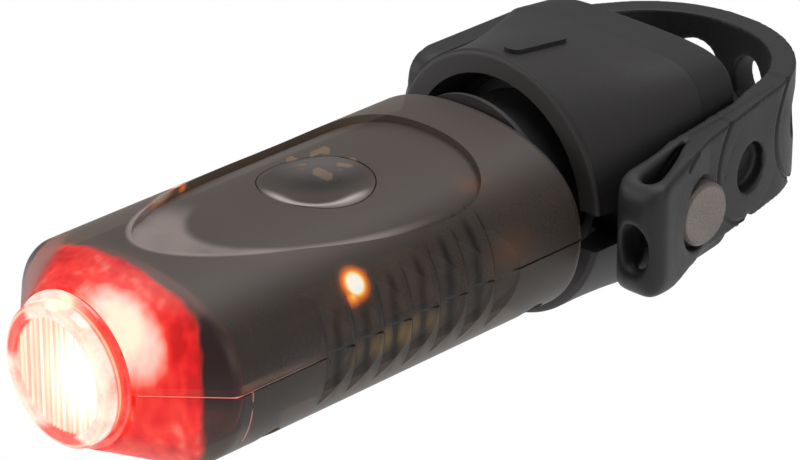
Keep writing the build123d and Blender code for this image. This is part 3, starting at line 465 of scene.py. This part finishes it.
def smoked_casing():
    """Smoked satin casing: red light at the nose and amber at the sides are painted on it."""
    made = Nodes("smoked_casing")

    # Fine grain of the surface, slow cloud in the smoke and streaks in the red light
    grain = made.noise(2.6)
    cloud = made.noise(0.09, 2.0)
    streak = made.noise(0.55, 1.2, (1, 1, 0.4))
    reach, red, pale, shadow = casing_zones(made, streak)

    smoke = pad_painted_light(made, casing_smoke(made, grain, cloud), cloud)
    # Painted light and shade: the pale corner and the red zone lighten the smoke, the shadow
    # darkens it
    smoke = made.mix(pale, smoke, (142, 94, 90))
    smoke = made.mix(shadow, smoke, (12, 7, 7))
    made.look(made.mix(red, smoke, (52, 8, 8)), roughness=0.42, specular=0.38)
    made.shader.inputs["IOR"].default_value = 1.5
    made.bump(grain, 0.12)

    # Beside the red light, the shadow and a fringe above the block get a faint painted glow
    fringe = made.times(made.fall(made.y, -93.0, -88.8), made.span(made.z, 4.0, 8.0))
    dim = made.mix(shadow, made.mix(fringe, (0, 0, 0), (74, 34, 22)), (30, 5, 5))
    lit = made.mix(red, dim, red_light(made, streak, reach))
    lit = made.mix(1.0, lit, amber_light(made), "ADD")

    # Painted fine, broken line of light at the edge of the inner block, below the seam
    block_edge = made.times(
        made.band(made.y, -88.2, 0.16),
        made.span(made.noise(0.8, 2.0), 0.32, 0.42),
        made.span(made.z, -7.8, -7.0),
        made.fall(made.z, 0.0, 0.3),
    )
    made.glow(made.mix(block_edge, lit, (205, 120, 108)), strength=1.1)

    # The wall lets a quarter of the light straight through, and hardly any in the shadow
    clear_share = made.span(shadow, 0.0, 1.0, 0.26, 0.04)
    made.see_through(clear_share, (215, 200, 185))
    return made.material


def clear_nose():
    """Clear nose painted as lit from behind: a fluted bright window in a pale rim with red patches.
    """
    made = Nodes("clear_nose")
    flat = made.node("ShaderNodeCombineXYZ", made.x, 0.0, made.z).outputs[0]
    radius = made.node("ShaderNodeVectorMath", flat, operation="LENGTH").outputs["Value"]
    cloud = made.noise(0.35, 3.0)

    # Window: upright flutes that sway a little, with a glare over the near side
    sway = made.times(made.noise(0.5, 2.0, (1, 0, 0.12)), 5.0)
    wave = made.math("SINE", made.plus(made.times(made.x, flute_rate), sway))
    uneven = made.noise(0.8, 2.0, (1, 0, 0.05))
    flute = made.plus(made.times(wave, 0.3), made.times(uneven, 0.7))
    glare = made.near((3.4, nose_front, 0.6), (7.4, 9.0, 8.6), 1.1)
    window = made.ramp(
        made.plus(flute, glare),
        (0.05, (236, 184, 168)),
        (0.3, (250, 210, 190)),
        (0.52, (255, 236, 196)),
        (0.9, (255, 255, 248)),
    )

    # Rim's painted light: pale, with two red patches, a red neck on the near side and a spark at
    # the top
    pale = made.ramp(cloud, (0.3, (255, 176, 160)), (0.5, (255, 216, 200)), (0.7, (255, 240, 222)))
    upper_patch = made.near((-7.6, nose_front, 4.4), (5.0, 4.0, 7.0))
    lower_patch = made.near((1.6, nose_front, -9.0), (9.5, 4.0, 3.8))
    patches = made.span(made.math("MAXIMUM", upper_patch, lower_patch), 0.12, 0.5)
    neck = made.times(made.span(made.y, nose_step, nose_step + 0.6), made.span(made.x, -2.0, 5.0))
    red = made.ramp(cloud, (0.35, (226, 44, 40)), (0.65, (244, 92, 78)))
    rim = made.mix(made.math("MAXIMUM", patches, neck), pale, red)
    spark = made.span(made.near((-0.4, nose_step, 9.1), (3.4, 2.4, 2.4)), 0.2, 0.7)
    rim = made.mix(spark, rim, (255, 250, 214))

    outside = made.span(radius, window_radius - 0.5, window_radius - 0.1)
    # A painted highlight runs round the rim's outer edge
    edge = made.times(made.band(radius, rim_radius - 0.45, 0.3), 0.6)
    shades = made.mix(edge, made.mix(outside, window, rim), (255, 236, 190))
    made.look(made.mix(0.75, shades, (60, 30, 28)), roughness=0.12)
    made.shader.inputs["IOR"].default_value = 1.49
    made.shader.inputs["Coat Weight"].default_value = 0.5
    made.glow(shades, strength=0.92)
    made.bump(cloud, 0.05, distance=0.0002)
    made.see_through(0.12, (255, 225, 220))
    return made.material


def seam_rubber():
    """Thin seal between the halves, painted pink with light from the nose and dark further back."""
    made = Nodes("seam_rubber")
    base, speckle, _ = moulded(made, (30, 27, 26), 0.1, 2.5)
    made.look(base, roughness=0.6)
    uneven = made.plus(made.y, made.times(made.math("SUBTRACT", made.noise(0.4), 0.5), 3.0))
    # Painted light from the nose: pink near it, fainter further back
    near_nose = made.fall(uneven, -90.0, -85.5)
    faint = made.fall(uneven, -81.0, -74.0)
    dim = made.mix(faint, (0, 0, 0), (176, 150, 138))
    made.glow(made.mix(near_nose, dim, (240, 130, 118)))
    made.bump(speckle, 0.15)
    return made.material


def strap_rubber():
    """Black strap rubber, with painted shade on its inner face, in its blind hole, crease and arcs.
    """
    made = Nodes("strap_rubber")
    base, speckle, broad = moulded(made, (26, 24, 26), 0.1, 2.4)

    # Painted shade on the inner face, which looks towards the middle of the loop
    middle = (*loop_centre, 0.0)
    outward = made.node("ShaderNodeVectorMath", made.place, middle, operation="SUBTRACT")
    level = made.node("ShaderNodeVectorMath", outward.outputs[0], (1, 1, 0), operation="MULTIPLY")
    radial = made.node("ShaderNodeVectorMath", level.outputs[0], operation="NORMALIZE").outputs[0]
    facing = made.coordinates.outputs["Normal"]
    lean = made.node("ShaderNodeVectorMath", radial, facing, operation="DOT_PRODUCT")
    inner = made.span(lean.outputs["Value"], -0.75, -0.15, 0.85, 0.0)

    # The spare hole is blind, and has painted shade just under the near leg's outer face
    across_leg = made.plus(made.x, made.times(made.y, near_leg_slope))
    outer_face = spare_hole[0] + spare_hole[1] * near_leg_slope
    from_hole = made.apart(spare_hole, (ANY, 1, 1))
    blind_hole_shade = made.times(
        made.fall(across_leg, outer_face - 0.6, outer_face - 0.2),
        made.fall(from_hole, hole_radius - 0.1, hole_radius + 0.3),
        made.span(made.x, 18.0, 18.6),
    )

    # A crease runs along the top edge of the near leg, with painted shade in it
    crease_slope = near_leg_slope / 2
    crease_line = made.plus(made.x, made.times(made.y, crease_slope))
    crease = made.times(
        made.band(crease_line, crease_x + crease_front * crease_slope, 0.42),
        made.span(made.z, strap_high - 1.2, strap_high - 0.6),
        made.fall(made.y, crease_rear - 2.0, crease_rear),
        made.span(made.y, crease_front - 1.0, crease_front),
    )

    # The arcs get painted shade, darker than the face that they are pressed into
    arc_shade = 0.0
    for centre in arc_middles:
        ring = made.band(made.apart(centre), arc_radius, arc_half_width)
        ahead = made.fall(made.y, centre[1] - 2.5 * arc_lead, centre[1] - 0.5 * arc_lead)
        arc_shade = made.math("MAXIMUM", made.times(ring, ahead), arc_shade)
    # All the painted shade darkens the rubber together
    dark = inner
    for part in (blind_hole_shade, made.times(crease, 0.95), made.times(arc_shade, 0.95)):
        dark = made.math("MAXIMUM", dark, part)
    gloss = made.span(broad, 0.3, 0.7, 0.46, 0.56)
    made.look(made.mix(dark, base, (6, 5, 6)), gloss, specular=0.35)
    made.bump(speckle, 0.3)
    return made.material


def mount_moulding(name, shade):
    """Matt charcoal moulding: painted light on its mouth's face, dark lines round it and at the
    saddle.
    """
    made = Nodes(name)
    base, speckle, broad = moulded(made, shade, 0.1, 2.4)
    # Painted light: the face at the mouth is lighter
    lit_mouth_face = made.span(made.y, mount_mouth + 0.1, mount_mouth + 0.25, 0.8, 0.0)
    mouth_line = made.times(made.band(made.y, mount_mouth + 0.55, 0.35), 0.9)
    seam = made.times(made.band(made.y, saddle_seam, 0.22), 0.8)
    base = made.mix(lit_mouth_face, base, (52, 47, 47))
    base = made.mix(made.math("MAXIMUM", mouth_line, seam), base, (9, 8, 9))
    made.look(base, made.span(broad, 0.3, 0.7, 0.54, 0.64), specular=0.35)
    made.bump(speckle, 0.35)
    return made.material


def stud_metal():
    """Satin stud heads, speckled, with a darker rim."""
    made = Nodes("stud_satin")
    base, speckle, _ = moulded(made, (106, 97, 93), 0.2, 3.4)
    rim = made.span(made.apart((24.7, *stud_face[1:]), (50, 1, 1)), *stud_rim)
    made.look(made.mix(made.times(rim, 0.6), base, (44, 38, 35)), roughness=0.45)
    made.bump(speckle, 0.5)
    return made.material


# Casing and mount
paint(smoked_casing(), "upper_shell", "lower_shell", "push_button")
paint(clear_nose(), "nose_lens")
paint(seam_rubber(), "shell_seal")
paint(mount_moulding("mount_charcoal", (29, 26, 27)), "mount_housing")
paint(mount_moulding("saddle_charcoal", (26, 24, 25)), "saddle_pad")
paint(stud_metal(), "strap_studs")

# Lamps; the parts they light, and pale parts that show through the smoke, glow as painted light
gasket_lit = glowing("gasket_lit", (150, 20, 18), (236, 84, 72), strength=0.8, scale=0.5)
paint(gasket_lit, "lens_gasket")
paint(glowing("red_guide", (150, 4, 4), (252, 90, 76), strength=1.0), "light_guide")
paint(glowing("red_light", (255, 120, 90), (255, 230, 215), strength=6.0), "red_led")
amber_source = glowing("amber_light", (255, 150, 20), (255, 225, 120), strength=2.0)
paint(amber_source, "side_led_left", "side_led_right")
capacitor_glow = glowing("capacitor_tan", (196, 172, 122), (226, 202, 150), strength=4.5, scale=0.9)
paint(capacitor_glow, "chip_capacitors")
tape_tan = glowing("tape_tan", (170, 128, 56), (205, 165, 85), strength=0.5, scale=0.7)
paint(tape_tan, "battery_tape")

# Metal parts inside
reflector_bright = metal(
    "reflector_bright", (225, 205, 200), 0.12, grain=0.05, grain_scale=0.9, bump=0.05
)
paint(reflector_bright, "reflector")
screw_steel = metal("screw_steel", (150, 148, 145), 0.32, grain=0.1, grain_scale=3.0)
paint(screw_steel, "shell_screws", "board_screws")
paint(metal("sink_aluminium", (195, 195, 198), 0.35), "heat_sink")
paint(metal("pin_brass", (205, 170, 90), 0.3), "led_pins")
port_steel = metal("port_steel", (180, 180, 180), 0.3, grain=0.05, grain_scale=2.5)
paint(port_steel, "usb_port")
cell_foil = plain("cell_foil", (150, 150, 155), 0.35, grain_scale=0.9, bump=0.2, metallic=0.8)
paint(cell_foil, "battery")

# Plastic and rubber parts inside
board_dark = plain("board_dark", (30, 30, 32), 0.5)
paint(board_dark, "led_board", "tact_switch", "switch_plunger", "control_chip")
paint(plain("board_green", (40, 92, 60), 0.4), "main_board", "charge_board")
paint(plain("dark_seal", (34, 30, 29), 0.6), "stem_lip", "stem_o_ring")
paint(plain("tray_black", (26, 25, 25), 0.5), "battery_tray", "rear_stem", "stem_bush")
paint(plain("plug_white", (215, 210, 198), 0.45), "battery_connector")
paint(plain("lead_red", (190, 25, 20), 0.45), "battery_lead_red")
paint(plain("lead_black", (25, 25, 25), 0.45), "battery_lead_black")


def loop_direction(degrees):
    """Level direction from the loop's centre, at an angle from +X."""
    angle = math.radians(degrees)
    return Vector((math.cos(angle), math.sin(angle), 0))


def bridge_mesh():
    """Short wedge of strap that fills the seam between the two halves of the loop."""
    mesh = bpy.data.meshes.new("bridge")
    work = bmesh.new()
    corners = []
    for angle in (strap_split - bridge_overlap, strap_split + strap_split_gap + bridge_overlap):
        for radius in (loop_radius - strap_half_thickness, loop_radius + strap_half_thickness):
            for height in (strap_low, strap_high):
                place = Vector((*loop_centre, height)) + loop_direction(angle) * radius
                corners.append(work.verts.new(place * MM))
    ends = ((0, 1, 3, 2), (4, 6, 7, 5))
    sides = ((0, 2, 6, 4), (1, 5, 7, 3), (0, 4, 5, 1), (2, 3, 7, 6))
    for face in ends + sides:
        work.faces.new([corners[index] for index in face])
    bmesh.ops.recalc_face_normals(work, faces=work.faces)
    work.to_mesh(mesh)
    work.free()
    return mesh


def bake(made):
    """Turns an object's modifiers into its own mesh."""
    bpy.context.view_layer.update()
    evaluated = made.evaluated_get(bpy.context.evaluated_depsgraph_get())
    shaped = bpy.data.meshes.new_from_object(evaluated)
    made.modifiers.clear()
    made.data = shaped


def soften(made, rounds, group=""):
    """Smooths an object, or only its vertex group, for a number of rounds."""
    modifier = made.modifiers.new("soften", "SMOOTH")
    modifier.factor = 0.5
    modifier.iterations = rounds
    modifier.vertex_group = group


def score_arcs(mesh):
    """Presses the fine arcs into the strap's outer face."""
    least_outward = 0.5
    normals = [vertex.normal.copy() for vertex in mesh.vertices]
    for vertex, normal in zip(mesh.vertices, normals):
        place = vertex.co / MM
        outward = Vector((place.x - loop_centre[0], place.y - loop_centre[1], 0)).normalized()
        if normal.dot(outward) < least_outward:
            continue
        for centre in arc_middles:
            apart = abs((place - Vector(centre)).length - arc_radius)
            if apart < arc_half_width and place.y < centre[1] - arc_lead:
                vertex.co -= normal * MM * arc_depth * (1 - apart / arc_half_width)


def moulded_strap(sources):
    """One closed mesh made from solids that meet end to end, most rounded at the pull tab."""
    mesh = bpy.data.meshes.new("strap")
    work = bmesh.new()
    for source in sources:
        work.from_mesh(source)
    work.to_mesh(mesh)
    work.free()
    made = bpy.data.objects.new("strap", mesh)
    scene.collection.objects.link(made)
    remesh = made.modifiers.new("remesh", "REMESH")
    remesh.mode = "VOXEL"
    remesh.voxel_size = strap_voxel * MM
    bake(made)
    tab = made.vertex_groups.new(name="tab")
    for vertex in made.data.vertices:
        share = (tab_start - vertex.co.y / MM) / tab_blend
        if share > 0:
            tab.add([vertex.index], min(share, 1), "REPLACE")
    soften(made, soft_rounds)
    soften(made, tab_rounds, "tab")
    bake(made)
    made.vertex_groups.clear()
    score_arcs(made.data)
    for face in made.data.polygons:
        face.use_smooth = True
    made.data.materials.clear()
    return made


# The strap is one moulding, from the loop's fixed leg to the pull tab at its open end
strap = moulded_strap([nodes["strap_band"].data, nodes["strap_tail"].data, bridge_mesh()])
strap.data.materials.append(strap_rubber())
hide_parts("strap_band", "strap_tail")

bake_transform(strap)


def pale_floor():
    """Pale floor below the lamp, which the camera sees as white."""
    mesh = bpy.data.meshes.new("floor")
    work = bmesh.new()
    bmesh.ops.create_grid(work, x_segments=1, y_segments=1, size=floor_size)
    work.to_mesh(mesh)
    work.free()
    made = Nodes("floor_white")
    made.shader.inputs["Base Color"].default_value = (0.9, 0.9, 0.9, 1)
    made.shader.inputs["Roughness"].default_value = 0.9
    seen = made.node("ShaderNodeLightPath").outputs["Is Camera Ray"]
    white = made.node("ShaderNodeEmission", (1, 1, 1, 1), white_seen).outputs[0]
    choose = made.node("ShaderNodeMixShader", seen, made.shader.outputs[0], white)
    made.put(made.output.inputs["Surface"], choose.outputs[0])
    mesh.materials.append(made.material)
    floor = bpy.data.objects.new("floor", mesh)
    floor.location = (0, 0, floor_height)
    scene.collection.objects.link(floor)
    return floor


def white_world():
    """White world, dimmer as a light than as a background."""
    world = bpy.data.worlds.new("studio")
    world.use_nodes = True
    tree = world.node_tree
    seen = tree.nodes.new("ShaderNodeLightPath").outputs["Is Camera Ray"]
    strength = tree.nodes.new("ShaderNodeMapRange")
    strength.inputs["To Min"].default_value = white_light
    strength.inputs["To Max"].default_value = white_seen
    background = tree.nodes["Background"]
    background.inputs["Color"].default_value = (1, 1, 1, 1)
    tree.links.new(seen, strength.inputs["Value"])
    tree.links.new(strength.outputs["Result"], background.inputs["Strength"])
    return world


def softbox(name, place, size, watts):
    """Soft rectangular light, turned to the lamp. Its place and size are in metres."""
    light = bpy.data.lights.new(name, "AREA")
    light.shape = "RECTANGLE"
    light.size, light.size_y = size
    light.energy = watts
    made = bpy.data.objects.new(name, light)
    made.location = place
    target = Vector((0, -0.05, 0))
    made.rotation_euler = (target - Vector(place)).to_track_quat("-Z", "Y").to_euler()
    scene.collection.objects.link(made)


# Plain studio: pale floor, white background and soft light from above and both sides
floor = pale_floor()
scene.world = white_world()
softbox("top_box", (-0.15, 0.1, 0.9), (0.9, 0.9), watts=8.0)
softbox("left_box", (-0.7, -0.7, 0.35), (0.6, 0.6), watts=4.5)
softbox("right_box", (0.8, -0.1, 0.3), (0.5, 0.5), watts=1.8)
